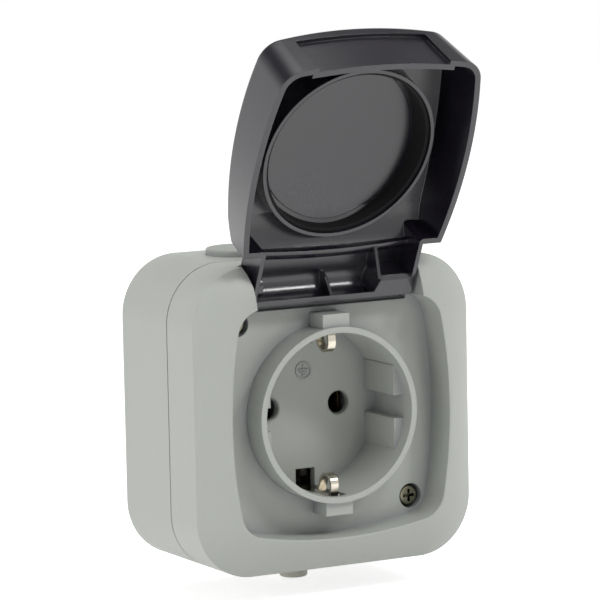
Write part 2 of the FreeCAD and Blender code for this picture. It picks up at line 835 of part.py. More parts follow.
def edge_lies_on_crown(edge):
    """True for the edges between the side walls and the crowned face."""
    middle = edge.valueAt((edge.FirstParameter + edge.LastParameter) / 2)
    ends = [vertex.Point for vertex in edge.Vertexes]
    spread = max(place.y for place in ends) - min(place.y for place in ends)
    along = math.hypot(ends[0].x - ends[-1].x, ends[0].z - ends[-1].z)
    return along > 2 * spread and middle.z < lid_hinge_end - crown_edge_end


def ridge_roll():
    """Room over the ridge, whose narrow top rolls over to the floor of the hinge channel."""
    open_side, top = rim_closed - over, rim_closed + ridge_top
    start, foot = ridge_z + ridge_land, ridge_z + ridge_run
    floor = hinge_depth + shell_inner
    drop, run = floor - top, foot - start
    radius = (drop ** 2 + run ** 2) / (2 * drop)
    half = math.atan2(run, radius - drop) / 2
    middle = (top + radius * (1 - math.cos(half)), start + radius * math.sin(half))
    low, high = ridge_z - over, foot + 2 * over
    return ridge_section([(open_side, low), (top, low), (top, start),
                          (middle[0], middle[1], floor, foot), (floor, high), (open_side, high)])


def hinge_channel():
    """Closed outer form of the hinge end and the room inside it, as two solids."""
    base, axis = rim_closed, hinge_depth
    root = math.sqrt(hinge_shell_radius ** 2 - rim_axis_offset ** 2)
    inner_root = math.sqrt(shell_inner ** 2 - rim_axis_offset ** 2)
    slant, inner_slant = hinge_shell_radius * diagonal, shell_inner * diagonal
    outer = section([
        (base, lid_hinge_end - over), (base, hinge_z + root),
        (axis + slant, hinge_z + slant, axis + hinge_shell_radius, hinge_z),
        (axis + hinge_shell_radius, lid_hinge_end - over)],
        -hinge_half_width, hinge_half_width)
    floor, foot = axis + shell_inner, ridge_z + ridge_run
    room = section([
        (base - over, hinge_z + inner_root), (base, hinge_z + inner_root),
        (axis + inner_slant, hinge_z + inner_slant, floor, hinge_z),
        (floor, foot), (base - over, foot)],
        -neck_half_width, neck_half_width)
    return outer, room.fuse(ridge_roll())


def knuckle():
    """Bored block at the right end of the hinge channel, with a gusset beside it."""
    base = rim_closed
    low, high = hinge_z - knuckle_half_height + knuckle_top, hinge_z + knuckle_half_height
    right, top = neck_half_width + knuckle_ear_bite, high + knuckle_shell_bite
    edges_x = [(knuckle_left_high, low), (right, low), (right, top), (knuckle_left_low, top)]
    places = [at(x, base, z) for x, z in edges_x]
    body = prism(Part.makePolygon(places + [places[0]]), shell_height - inside_floor_bite)
    chamfer = section([(base - over, low - over), (base - over, low + knuckle_chamfer + over),
                       (base + knuckle_chamfer + over, low - over)], 0, far)
    floor = base + shell_height - inside_floor_bite
    gusset = section([(base + gusset_start, low + gusset_bite), (base + ridge_top, ridge_z),
                      (floor, ridge_z), (floor, low + gusset_bite)],
                     knuckle_left_high - rib_wall, knuckle_left_high)
    return body.cut(chamfer).fuse(gusset)


def channel_rib():
    base = rim_closed
    root = math.sqrt(shell_inner ** 2 - rim_axis_offset ** 2)
    floor = base + shell_height - inside_floor_bite
    return section([(base + rib_start, hinge_z + root + rib_root_bite),
                    (base + rib_waist, hinge_z + rib_waist_z),
                    (floor, hinge_z), (floor, hinge_z + rib_back_z),
                    (base + rib_back, hinge_z + hinge_shell_radius)], rib_x, rib_x + rib_wall)


def build_lid():
    shell = lid_shell()
    outer, room = hinge_channel()
    whole = shell.fuse(outer).removeSplitter()
    lid = whole.cut([lid_cavity(), room])
    ring = rod(0, 0, seal_wall_radius, rim_closed + seal_wall_height, far)
    ring = ring.cut(rod(0, 0, seal_inner, rim_closed, far))
    disc = rod(0, 0, disc_radius, rim_closed, far).cut(crown_solid(lid_wall + disc_rise))
    inside = [knuckle(), channel_rib()]
    lid = lid.multiFuse([piece.common(whole) for piece in [ring, disc] + inside])
    lid = lid.fuse(cross_rod(-hinge_half_width, left_boss_end, boss_radius))
    bore = pin_radius + pin_clearance
    right_bore = knuckle_left_high + pin_stop
    lid = lid.cut([cross_rod(-far, left_boss_end + over, bore), cross_rod(right_bore, far, bore)])
    return turn_open(lid)


def build_lid_seal():
    """Rubber ring that lines the seal wall and meets the front of the collar."""
    low = rim_closed + seal_wall_height + seal_ring_drop
    ring = rod(0, 0, seal_inner, low, far).cut(rod(0, 0, seal_inner - seal_ring, low - over, far + over))
    return turn_open(ring.common(crown_solid(lid_wall)))


def build_pin(x_low, x_high):
    pin = cross_rod(x_low, x_high, pin_radius)
    return pin.makeChamfer(pin_radius * pin_end_share, [edge for edge in pin.Edges if edge.Closed])


def build_grommet():
    """Rubber cable entry that grips the edge of its hole, with a closed tip."""
    wall_out, wall_in = entry_z, entry_z + housing_wall
    flange_radius = entry_radius + grommet_flange_width
    tip = wall_out - grommet_tip_length
    body = upright(entry_x, entry_radius, wall_out - grommet_flange, wall_in + grommet_flange)
    outer = upright(entry_x, flange_radius, wall_out - grommet_flange, wall_out)
    inner = upright(entry_x, flange_radius, wall_in, wall_in + grommet_flange)
    cone_height = grommet_tip_length - grommet_flange - grommet_tip_straight
    cone = Part.makeCone(grommet_tip_radius, entry_radius - grommet_cone_inset, cone_height,
                         at(entry_x, entry_depth, tip + grommet_tip_straight), Vec(0, 0, 1))
    end = upright(entry_x, grommet_tip_radius, tip, tip + grommet_tip_straight)
    end = end.makeFillet(grommet_tip_round, [edge for edge in end.Edges
                                             if edge.BoundBox.ZMax < tip + edge_near])
    whole = body.multiFuse([outer, inner, cone, end])
    hollow_radius = entry_radius - grommet_cone_inset - grommet_skin
    hollow = upright(entry_x, hollow_radius, wall_out - grommet_flange, far)
    hollow_cone = Part.makeCone(grommet_tip_radius - grommet_skin, hollow_radius, cone_height,
                                at(entry_x, entry_depth, tip + grommet_tip_straight), Vec(0, 0, 1))
    hollow_end = upright(entry_x, grommet_tip_radius - grommet_skin, tip + grommet_skin,
                         tip + grommet_tip_straight)
    return whole.cut([hollow, hollow_cone, hollow_end])


def build_blanking_plug():
    low, high = half_height - housing_wall, half_height
    head = upright(plug_x, plug_head_radius, high, high + plug_head)
    head = head.makeFillet(plug_head_round, [edge for edge in head.Edges
                                             if edge.BoundBox.ZMin > high + plug_head - edge_near])
    stem = upright(plug_x, plug_radius, low - plug_snap_length, high)
    snap = Part.makeCone(plug_radius - plug_snap, plug_radius + 2 * plug_snap, plug_snap_length,
                         at(plug_x, entry_depth, low - plug_snap_length), Vec(0, 0, 1))
    hollow = upright(plug_x, plug_hollow, low - plug_snap_length - over, high)
    return head.multiFuse([stem, snap]).cut(hollow)


def nut_pocket(x, top):
    half = nut_half + nut_clearance
    return block(x - half, x + half, top - nut_wall, far, terminal_z - half, terminal_z + half)


def build_carrier():
    """Insulating base: two contact wells, two terminal bays and a rib for the earth strap."""
    body = block(-carrier_half_width, carrier_half_width, carrier_back, carrier_depth,
                 -carrier_half_height, carrier_half_height)
    upright_edges = [edge for edge in body.Edges if edge.BoundBox.YLength > carrier_depth / 2]
    body = body.makeFillet(carrier_corner, upright_edges)
    cuts = []
    for side in (1, -1):
        x = side * contact_x
        cuts.append(block(x - contact_well, x + contact_well, carrier_back + carrier_floor, far,
                          -contact_well, contact_well))
        low, high = sorted((side * rib_half_width, side * (carrier_half_width - bay_wall)))
        cuts.append(block(low, high, terminal_depth, far, -far, terminal_top))
        link = side * (contact_x + plug_pin_radius + fork_wall / 2)
        cuts.append(block(link - link_wall, link + link_wall, carrier_back + carrier_floor, far,
                          terminal_top - 2 * over, 0))
        cuts.append(rod(x, terminal_z, terminal_screw_radius + screw_hole_clearance,
                        terminal_depth - terminal_screw_reach - over, far))
        cuts.append(nut_pocket(x, terminal_depth))
    cuts.append(block(-strap_channel, strap_channel, rib_depth, far, -far, far))
    cuts.append(block(-far, far, rib_depth, far, -far, terminal_top))
    cuts.append(rod(0, terminal_z, terminal_screw_radius + screw_hole_clearance,
                    rib_depth - terminal_screw_reach - over, far))
    cuts.append(nut_pocket(0, rib_depth))
    body = body.cut(cuts)
    for x, z in carrier_corners:
        low_x, high_x = sorted((math.copysign(carrier_half_width - bay_wall / 2, x), x))
        low_z, high_z = sorted((math.copysign(ear_z - 2 * ear_radius, z), z))
        ear = rod(x, z, ear_radius, ear_depth, ear_depth + ear_thick)
        ear = ear.fuse(block(low_x, high_x, ear_depth, ear_depth + ear_thick, low_z, high_z))
        body = body.fuse(ear)
        body = body.cut(rod(x, z, ear_radius + ear_clearance, ear_depth + ear_thick, far))
        body = body.cut(rod(x, z, screw_shank_radius + screw_hole_clearance, 0, far))
    return body


def build_contact(side):
    """Brass fork for one plug pin, with a link to its terminal plate."""
    x = side * contact_x
    low = carrier_back + carrier_floor
    inner = plug_pin_radius
    outer = inner + fork_wall
    fork = block(x - outer, x + outer, low, fork_depth, -fork_half_height, fork_half_height)
    fork = fork.cut(block(x - inner, x + inner, low + fork_base, far, -far, far))
    link_x = side * (contact_x + plug_pin_radius + fork_wall / 2)
    link_top = spring_depth - spring_length - link_drop
    link = block(link_x - link_wall / 2, link_x + link_wall / 2, link_top - link_length, link_top,
                 terminal_top - link_reach, link_bite - fork_half_height)
    plate = block(x - plate_half, x + plate_half, terminal_depth, terminal_depth + plate_wall,
                  terminal_z - plate_half, terminal_top - plate_gap)
    hole = rod(x, terminal_z, terminal_screw_radius + screw_hole_clearance, 0, far)
    return fork.multiFuse([link, plate]).cut(hole)


def build_fork_spring(side):
    """Steel clip that squeezes the fork from outside."""
    x = side * contact_x
    inner = plug_pin_radius + fork_wall
    outer = inner + spring_wall
    top = spring_depth
    inner_z = fork_half_height + spring_slack
    outer_z = inner_z + spring_wall
    clip = block(x - outer, x + outer, top - spring_length, top, -outer_z, outer_z)
    return clip.cut(block(x - inner, x + inner, 0, far, -inner_z, inner_z))


def build_earth_bracket():
    """One strip: an earth strap across the carrier that rises at each end into a slim arched clip."""
    middle = rib_depth + strap_wall / 2
    half_route = [(middle, 0.0), (middle, clip_rise_z), (clip_top_depth - clip_slope, clip_outer_z),
                  (clip_top_depth, clip_nose_z), (clip_nose_depth, clip_nose_z - clip_nose_lean),
                  (clip_tail_depth, clip_tail_z)]
    bends = [clip_root_bend, clip_bend, clip_bend, clip_nose_bend]
    half = ribbon(half_route, bends, strap_wall, -strap_half_width, strap_half_width)
    bracket = half.fuse(mirrored_z(half)).removeSplitter()
    shoulder = rib_depth + strap_wall + clip_shoulder
    cuts = [rod(0, terminal_z, terminal_screw_radius + screw_hole_clearance, 0, shoulder)]
    for side in (1, -1):
        low, high = sorted((side * riser_half_width, side * far))
        cuts.append(block(low, high, shoulder, far, -far, far))
        low, high = sorted((side * clip_half_width, side * far))
        cuts.append(block(low, high, shoulder, far, -clip_root_z, clip_root_z))
    return bracket.cut(cuts)


def terminal_places():
    """x and seat depth of each terminal: two brass plates and the earth strap."""
    return [(-contact_x, terminal_depth + plate_wall), (0.0, rib_depth + strap_wall),
            (contact_x, terminal_depth + plate_wall)]


def build_clamp_plates():
    plates = []
    for x, seat in terminal_places():
        plate = block(x - clamp_half, x + clamp_half, seat, seat + clamp_wall,
                      terminal_z - clamp_half, terminal_z + clamp_half)
        plates.append(plate.cut(rod(x, terminal_z, terminal_screw_radius + screw_hole_clearance, 0, far)))
    return plates


def build_terminal_screws():
    screws = []
    for x, seat in terminal_places():
        head_seat = seat + clamp_wall
        screws.append(screw(x, terminal_z, terminal_screw_radius, seat - plate_wall - terminal_screw_reach,
                            head_seat, terminal_head_radius, terminal_head_height, False))
    return screws


def build_terminal_nuts():
    nuts = []
    for x, seat in ((-contact_x, terminal_depth), (0.0, rib_depth), (contact_x, terminal_depth)):
        nut = block(x - nut_half, x + nut_half, seat - nut_wall, seat,
                    terminal_z - nut_half, terminal_z + nut_half)
        nuts.append(nut.cut(rod(x, terminal_z, terminal_screw_radius + screw_bite, 0, far)))
    return nuts


def save(name, shapes):
    solids = shapes if isinstance(shapes, list) else [shapes]
    found = [solid for shape in solids for solid in shape.Solids]
    whole = found[0] if len(found) == 1 else Part.makeCompound(found)
    whole.exportStep("parts/" + name + ".step")
    print(name, len(found), "solid", round(sum(solid.Volume for solid in found)), "mm3",
          "valid" if all(solid.isValid() for solid in found) else "NOT VALID")


def main():
    os.makedirs("parts", exist_ok=True)
    save("back_box", build_back_box())
    save("cover_gasket", build_gasket())
    save("front_cover", build_front_cover())
    save("cup_insert", build_cup())
    save("cover_screws", build_cover_screws())
    save("lid", build_lid())
    save("lid_seal", build_lid_seal())
    save("hinge_pin_left", build_pin(left_cheek - pin_grip + pin_end_gap, left_boss_end))
    save("hinge_pin_right", build_pin(knuckle_left_high + pin_stop + pin_end_gap,
                                      right_cheek + pin_grip - pin_end_gap))
    save("cable_grommet", build_grommet())
    save("blanking_plug", build_blanking_plug())
    save("contact_carrier", build_carrier())
    save("carrier_screws", build_carrier_screws())
    save("live_contact", build_contact(-1))
    save("neutral_contact", build_contact(1))
    save("live_contact_spring", build_fork_spring(-1))
    save("neutral_contact_spring", build_fork_spring(1))
    save("earth_bracket", build_earth_bracket())
    save("clamp_plates", build_clamp_plates())
    save("terminal_screws", build_terminal_screws())
    save("terminal_nuts", build_terminal_nuts())


main()
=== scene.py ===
import math
import bpy
import bmesh
from bpy.props import FloatProperty, FloatVectorProperty, PointerProperty
from mathutils import Matrix, Vector

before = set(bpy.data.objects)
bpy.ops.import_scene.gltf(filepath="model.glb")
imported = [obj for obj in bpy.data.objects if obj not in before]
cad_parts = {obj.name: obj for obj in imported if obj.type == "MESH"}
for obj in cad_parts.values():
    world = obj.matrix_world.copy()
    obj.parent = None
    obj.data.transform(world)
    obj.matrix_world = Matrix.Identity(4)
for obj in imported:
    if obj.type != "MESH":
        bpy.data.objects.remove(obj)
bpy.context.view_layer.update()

bl_info = {
    "name": "Weatherproof socket",
    "version": (1, 0, 0),
    "blender": (4, 5, 0),
    "location": "View3D > Sidebar > Socket",
    "description": "Finishes of a surface-mounted weatherproof socket",
    "category": "Object",
}

# Looks that every piece of a kind shares. Lengths are in metres, and a scale counts waves to the metre.

EDGE_SAMPLES = 4

CLOUD_SCALE = 55.0
CLOUD_DETAIL = 4.0
SATIN_SPREAD = 0.05
GRAIN_DETAIL = 2.0
GRAIN_STRENGTH = 0.35
# Painted shade in the corners and recesses of moulded plastic, as shares of its colour
CORNER_REACH = 0.004
CORNER_SAMPLES = 6
CORNER_SHADE = (0.62, 0.61, 0.74)

LID_SPECULAR = 0.8
LID_SMOOTHER = 0.07
LID_ROUGHER = 0.12
HAZE_SCALE = 38.0
HAZE_DETAIL = 7.0
HAZE_BREAKUP = 0.62
HAZE_START = 0.42
HAZE_END = 0.78
SPECKLE_SCALE = 1900.0
SPECKLE_DETAIL = 3.0
SPECKLE_BREAKUP = 0.7
SPECKLE_START = 0.5
SPECKLE_END = 0.8
SPECKLE_STRENGTH = 0.3
DUST_GAIN = 3.0
DUST_LIFT = 0.05
SCRATCH_ALONG = (2600, 90, 90)
SCRATCH_ALONG_TURN = (0, 0.3, 0.5)
SCRATCH_ACROSS = (80, 80, 2200)
SCRATCH_ACROSS_TURN = (0.7, -0.4, 0)
SCRATCH_STRENGTH = 0.25
SCRATCH_DEPTH = 0.000006

MOTTLE_SCALE = 240.0
MOTTLE_DETAIL = 5.0
MOTTLE_DARK = 0.88
MOTTLE_LIGHT = 1.1
MOTTLE_STRENGTH = 0.3
MOTTLE_DEPTH = 0.00003
RUBBER_EDGE = 0.0003

STREAK_DETAIL = 3.0
STREAK_STRENGTH = 0.2
STREAK_DEPTH = 0.00001
TARNISH_SCALE = 900.0
TARNISH_DETAIL = 3.0
METAL_LIGHT = 1.15
# Painted shade in the holes and recesses of metal, as a share of its colour
METAL_RECESS_SHADE = 0.06
METAL_RECESS_SHADE_START = 0.25
METAL_RECESS_SHADE_END = 0.75
METAL_SAMPLES = 8
METAL_SMOOTHER = 0.1
METAL_ROUGHER = 0.12
METAL_EDGE = 0.0001

EVEN_STREAKS = (900, 900, 900)
ROLLED_STREAKS = (4000, 300, 300)
STAMPED_STREAKS = (600, 600, 3500)

# The stage around the socket, in metres and watts

FLOOR_SIZE = 1.5
FLOOR_FORWARD = 0.2
FLOOR_COLOUR = (0.85, 0.85, 0.85)
FLOOR_ROUGHNESS = 0.9
WHITE = (1, 1, 1)
LAMP_AIM = (0, -0.03, 0.02)
LAMPS = (
    # name, place, size, power
    ("key_lamp", (0.46, -0.66, 0.66), 0.15, 2.0),
    ("front_lamp", (0.15, -0.65, 0.8), 0.16, 1.6),
    ("left_lamp", (-0.95, -0.05, 0.1), 0.8, 3.8),
    ("right_lamp", (0.95, -0.1, 0.1), 0.8, 0.6),
    ("top_lamp", (0, -0.05, 0.95), 0.8, 5.0),
)
WALL_FOOT = 0.2
WALL_HEAD = 0.62
CEILING_STRENGTH = 0.2
SENSOR_WIDTH = 36.0
VIEW_END = 10.0


# Settings

class SocketFinish(bpy.types.PropertyGroup):
    housing_colour: FloatVectorProperty(name="Housing", description="Light grey of box and cover",
                                        subtype="COLOR", size=3, default=(0.47, 0.49, 0.455))
    plug_colour: FloatVectorProperty(name="Blanking plug", description="Grey of the plug in the top hole",
                                     subtype="COLOR", size=3, default=(0.4, 0.42, 0.38))
    lid_colour: FloatVectorProperty(name="Lid", description="Black of the lid", subtype="COLOR", size=3,
                                    default=(0.009, 0.0075, 0.013))
    rubber_colour: FloatVectorProperty(name="Seal", description="Black rubber of the rings",
                                       subtype="COLOR", size=3, default=(0.012, 0.012, 0.013))
    grommet_colour: FloatVectorProperty(name="Grommet", description="Off-white rubber of the cable entry",
                                        subtype="COLOR", size=3, default=(0.84, 0.83, 0.74))
    carrier_colour: FloatVectorProperty(name="Carrier", description="Off-white of the contact carrier",
                                        subtype="COLOR", size=3, default=(0.55, 0.54, 0.5))
    zinc_colour: FloatVectorProperty(name="Zinc", description="Slightly yellow zinc of the screws",
                                     subtype="COLOR", size=3, default=(0.27, 0.26, 0.19))
    nickel_colour: FloatVectorProperty(name="Nickel", description="Plating of the earth clips",
                                       subtype="COLOR", size=3, default=(0.6, 0.56, 0.47))
    brass_colour: FloatVectorProperty(name="Brass", description="Brass of the plug pin contacts",
                                      subtype="COLOR", size=3, default=(0.72, 0.52, 0.22))
    spring_colour: FloatVectorProperty(name="Spring steel", description="Clips round the plug pin contacts",
                                       subtype="COLOR", size=3, default=(0.5, 0.5, 0.51))
    lid_roughness: FloatProperty(name="Lid roughness", description="Sharpness of the gloss on the lid",
                                 default=0.22)
    grain: FloatProperty(name="Grain", description="Size of the moulded grain", default=0.00022,
                         unit="LENGTH", precision=5)
    edge_round: FloatProperty(name="Edge rounding", description="Softness of moulded edges",
                              default=0.00028, unit="LENGTH", precision=5)


class SocketStage(bpy.types.PropertyGroup):
    target: FloatVectorProperty(name="Target", description="Point that the camera looks at",
                                subtype="TRANSLATION", size=3, default=(-0.01, -0.04, 0.02783))
    azimuth: FloatProperty(name="Azimuth", description="Turn of the camera round the upright",
                           subtype="ANGLE", default=math.radians(-28.71))
    elevation: FloatProperty(name="Elevation", description="Height of the camera as an angle",
                             subtype="ANGLE", default=math.radians(7.40))
    roll: FloatProperty(name="Roll", description="Tilt of the camera", subtype="ANGLE",
                        default=math.radians(-1.17))
    distance: FloatProperty(name="Distance", description="Camera to target", unit="LENGTH",
                            default=0.9435)
    lens: FloatProperty(name="Lens", description="Focal length on a 36 mm sensor", default=245.93)
    floor_height: FloatProperty(name="Floor height", description="Height of the pale floor",
                                unit="LENGTH", default=-0.0432)
    floor_lift: FloatProperty(name="Floor lift", description="Added brightness of the floor as seen directly",
                              default=0.72)
    sky_strength: FloatProperty(name="Sky strength", description="Soft light from all around", default=0.3)


# Material helpers

def new_material(name):
    material = bpy.data.materials.new(name)
    material.use_nodes = True
    return material, material.node_tree.nodes, material.node_tree.links


def add_node(nodes, kind, **values):
    """Adds a shader node and sets its properties, or its inputs by name."""
    node = nodes.new(kind)
    for key, value in values.items():
        if hasattr(node, key):
            setattr(node, key, value)
        else:
            node.inputs[key.replace("_", " ")].default_value = value
    return node


def scaled(colour, share):
    """The colour times a share, no channel above white."""
    return [min(1.0, channel * share) for channel in colour]


def object_place(nodes):
    return add_node(nodes, "ShaderNodeTexCoord").outputs["Object"]


def add_noise(nodes, links, place, scale, detail, breakup=0.5):
    noise = add_node(nodes, "ShaderNodeTexNoise", Scale=scale, Detail=detail, Roughness=breakup)
    links.new(place, noise.inputs["Vector"])
    return noise.outputs["Fac"]


def add_streaks(nodes, links, place, scale, turn):
    """Noise drawn out into streaks: small scales make it long, the turn slants it."""
    slant = add_node(nodes, "ShaderNodeMapping")
    slant.inputs["Scale"].default_value = scale
    slant.inputs["Rotation"].default_value = turn
    links.new(place, slant.inputs["Vector"])
    return add_noise(nodes, links, slant.outputs["Vector"], 1.0, STREAK_DETAIL)


def add_span(nodes, links, value, start, end, low=0.0, high=1.0):
    """Stretches what lies between start and end to reach from low to high."""
    span = add_node(nodes, "ShaderNodeMapRange", From_Min=start, From_Max=end, To_Min=low, To_Max=high)
    links.new(value, span.inputs["Value"])
    return span.outputs["Result"]


def add_math(nodes, links, operation, first, second):
    result = add_node(nodes, "ShaderNodeMath", operation=operation)
    links.new(first, result.inputs[0])
    links.new(second, result.inputs[1])
    return result.outputs[0]


def add_tint(nodes, links, share, low, high):
    """Blends two colours by a share that varies over the surface."""
    tint = add_node(nodes, "ShaderNodeMix", data_type="RGBA")
    tint.inputs["A"].default_value = (*low, 1)
    tint.inputs["B"].default_value = (*high, 1)
    links.new(share, tint.inputs["Factor"])
    return tint.outputs["Result"]


def add_open_air(nodes, reach, samples):
    """One on open faces, less in corners and recesses up to the reach across."""
    return add_node(nodes, "ShaderNodeAmbientOcclusion", samples=samples, Distance=reach).outputs["AO"]


def add_painted_shade(nodes, links, open_air, shade_colour, clean):
    """Paints shade: lets the shade colour through where the open air runs out."""
    shaded = add_node(nodes, "ShaderNodeMix", data_type="RGBA")
    shaded.inputs["A"].default_value = (*shade_colour, 1)
    links.new(open_air, shaded.inputs["Factor"])
    links.new(clean, shaded.inputs["B"])
    return shaded.outputs["Result"]


def add_soft_edges(nodes, radius):
    return add_node(nodes, "ShaderNodeBevel", samples=EDGE_SAMPLES, Radius=radius).outputs["Normal"]


def add_bump(nodes, links, height, strength, depth, normal):
    bump = add_node(nodes, "ShaderNodeBump", Strength=strength, Distance=depth)
    links.new(height, bump.inputs["Height"])
    links.new(normal, bump.inputs["Normal"])
    return bump.outputs["Normal"]


# Finishes

def moulded_plastic(name, colour, roughness, shade, grain_depth):
    """Moulded plastic with fine grain, faint clouds, softened edges and shade in its corners."""
    finish = bpy.context.scene.socket_finish
    material, nodes, links = new_material(name)
    shader = nodes["Principled BSDF"]
    place = object_place(nodes)
    cloud = add_noise(nodes, links, place, CLOUD_SCALE, CLOUD_DETAIL)
    tint = add_tint(nodes, links, cloud, scaled(colour, 1 - shade), scaled(colour, 1 + shade))
    # Painted shade: the colour darkens towards its corner shares in corners and recesses
    corner = [channel * share for channel, share in zip(colour, CORNER_SHADE)]
    open_air = add_open_air(nodes, CORNER_REACH, CORNER_SAMPLES)
    links.new(add_painted_shade(nodes, links, open_air, corner, tint), shader.inputs["Base Color"])
    rough = add_span(nodes, links, cloud, 0.0, 1.0, roughness - SATIN_SPREAD, roughness + SATIN_SPREAD)
    links.new(rough, shader.inputs["Roughness"])
    grain = add_noise(nodes, links, place, 1 / finish.grain, GRAIN_DETAIL)
    edges = add_soft_edges(nodes, finish.edge_round)
    skin = add_bump(nodes, links, grain, GRAIN_STRENGTH, grain_depth, edges)
    links.new(skin, shader.inputs["Normal"])
    return material


def polished_plastic(name, colour):
    """Glossy black plastic with a dusty haze, fine scratches, speckles and softened edges."""
    finish = bpy.context.scene.socket_finish
    material, nodes, links = new_material(name)
    shader = nodes["Principled BSDF"]
    shader.inputs["Specular IOR Level"].default_value = LID_SPECULAR
    place = object_place(nodes)
    haze = add_noise(nodes, links, place, HAZE_SCALE, HAZE_DETAIL, HAZE_BREAKUP)
    speckle = add_noise(nodes, links, place, SPECKLE_SCALE, SPECKLE_DETAIL, SPECKLE_BREAKUP)
    clouds = add_span(nodes, links, haze, HAZE_START, HAZE_END)
    specks = add_span(nodes, links, speckle, SPECKLE_START, SPECKLE_END)
    dust = add_math(nodes, links, "MULTIPLY", clouds, specks)
    dusty = [min(1.0, channel * DUST_GAIN + DUST_LIFT) for channel in colour]
    links.new(add_tint(nodes, links, dust, colour, dusty), shader.inputs["Base Color"])
    rough = add_span(nodes, links, haze, 0.0, 1.0, finish.lid_roughness - LID_SMOOTHER,
                     finish.lid_roughness + LID_ROUGHER)
    links.new(rough, shader.inputs["Roughness"])
    along = add_streaks(nodes, links, place, SCRATCH_ALONG, SCRATCH_ALONG_TURN)
    across = add_streaks(nodes, links, place, SCRATCH_ACROSS, SCRATCH_ACROSS_TURN)
    scratch = add_math(nodes, links, "MAXIMUM", along, across)
    edges = add_soft_edges(nodes, finish.edge_round)
    lines = add_bump(nodes, links, scratch, SCRATCH_STRENGTH, SCRATCH_DEPTH, edges)
    skin = add_bump(nodes, links, speckle, SPECKLE_STRENGTH, SCRATCH_DEPTH, lines)
    links.new(skin, shader.inputs["Normal"])
    return material


def soft_rubber(name, colour, roughness, specular):
    """Mottled rubber with softened edges."""
    material, nodes, links = new_material(name)
    shader = nodes["Principled BSDF"]
    shader.inputs["Specular IOR Level"].default_value = specular
    shader.inputs["Roughness"].default_value = roughness
    mottle = add_noise(nodes, links, object_place(nodes), MOTTLE_SCALE, MOTTLE_DETAIL)
    tint = add_tint(nodes, links, mottle, scaled(colour, MOTTLE_DARK), scaled(colour, MOTTLE_LIGHT))
    links.new(tint, shader.inputs["Base Color"])
    edges = add_soft_edges(nodes, RUBBER_EDGE)
    skin = add_bump(nodes, links, mottle, MOTTLE_STRENGTH, MOTTLE_DEPTH, edges)
    links.new(skin, shader.inputs["Normal"])
    return material


def worked_metal(name, colour, roughness, streaks, recess, tarnish):
    """Plated or bare metal with drawn streaks, tarnish spots and painted shade in its recesses, as deep as
    the recess.
    """
    material, nodes, links = new_material(name)
    shader = nodes["Principled BSDF"]
    shader.inputs["Metallic"].default_value = 1.0
    place = object_place(nodes)
    drawn = add_streaks(nodes, links, place, streaks, (0, 0, 0))
    spots = add_noise(nodes, links, place, TARNISH_SCALE, TARNISH_DETAIL)
    tint = add_tint(nodes, links, spots, scaled(colour, 1 - tarnish), scaled(colour, METAL_LIGHT))
    # Painted shade: the colour darkens to a small share of itself in holes and recesses
    open_air = add_span(nodes, links, add_open_air(nodes, recess, METAL_SAMPLES), METAL_RECESS_SHADE_START,
                        METAL_RECESS_SHADE_END)
    shaded = add_painted_shade(nodes, links, open_air, scaled(colour, METAL_RECESS_SHADE), tint)
    links.new(shaded, shader.inputs["Base Color"])
    rough = add_span(nodes, links, drawn, 0.0, 1.0, roughness - METAL_SMOOTHER, roughness + METAL_ROUGHER)
    links.new(rough, shader.inputs["Roughness"])
    edges = add_soft_edges(nodes, METAL_EDGE)
    skin = add_bump(nodes, links, drawn, STREAK_STRENGTH, STREAK_DEPTH, edges)
    links.new(skin, shader.inputs["Normal"])
    return material


def dress(material, *pieces):
    """Gives frame nodes their finish."""
    for piece in pieces:
        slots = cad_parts[piece].data.materials
        slots.clear()
        slots.append(material)


# Operators

class SOCKET_OT_dress_housing(bpy.types.Operator):
    """Finishes the box, the cover, the cup, the blanking plug and the carrier in moulded plastic"""
    bl_idname = "socket.dress_housing"
    bl_label = "Dress housing"

    def execute(self, context):
        finish = context.scene.socket_finish
        grey = moulded_plastic("housing_plastic", finish.housing_colour, roughness=0.42, shade=0.03,
                               grain_depth=0.000012)
        plug = moulded_plastic("plug_plastic", finish.plug_colour, roughness=0.5, shade=0.04,
                               grain_depth=0.000015)
        carrier = moulded_plastic("carrier_plastic", finish.carrier_colour, roughness=0.55, shade=0.04,
                                  grain_depth=0.000015)
        dress(grey, "back_box", "front_cover", "cup_insert")
        dress(plug, "blanking_plug")
        dress(carrier, "contact_carrier")
        return {"FINISHED"}


class SOCKET_OT_dress_lid(bpy.types.Operator):
    """Finishes the lid in glossy black plastic"""
    bl_idname = "socket.dress_lid"
    bl_label = "Dress lid"

    def execute(self, context):
        dress(polished_plastic("lid_plastic", context.scene.socket_finish.lid_colour), "lid")
        return {"FINISHED"}


class SOCKET_OT_dress_rubber(bpy.types.Operator):
    """Finishes the rings and the cable grommet in rubber"""
    bl_idname = "socket.dress_rubber"
    bl_label = "Dress rubber"

    def execute(self, context):
        finish = context.scene.socket_finish
        black = soft_rubber("seal_rubber", finish.rubber_colour, roughness=0.75, specular=0.2)
        pale = soft_rubber("grommet_rubber", finish.grommet_colour, roughness=0.5, specular=0.4)
        dress(black, "lid_seal", "cover_gasket")
        dress(pale, "cable_grommet")
        return {"FINISHED"}


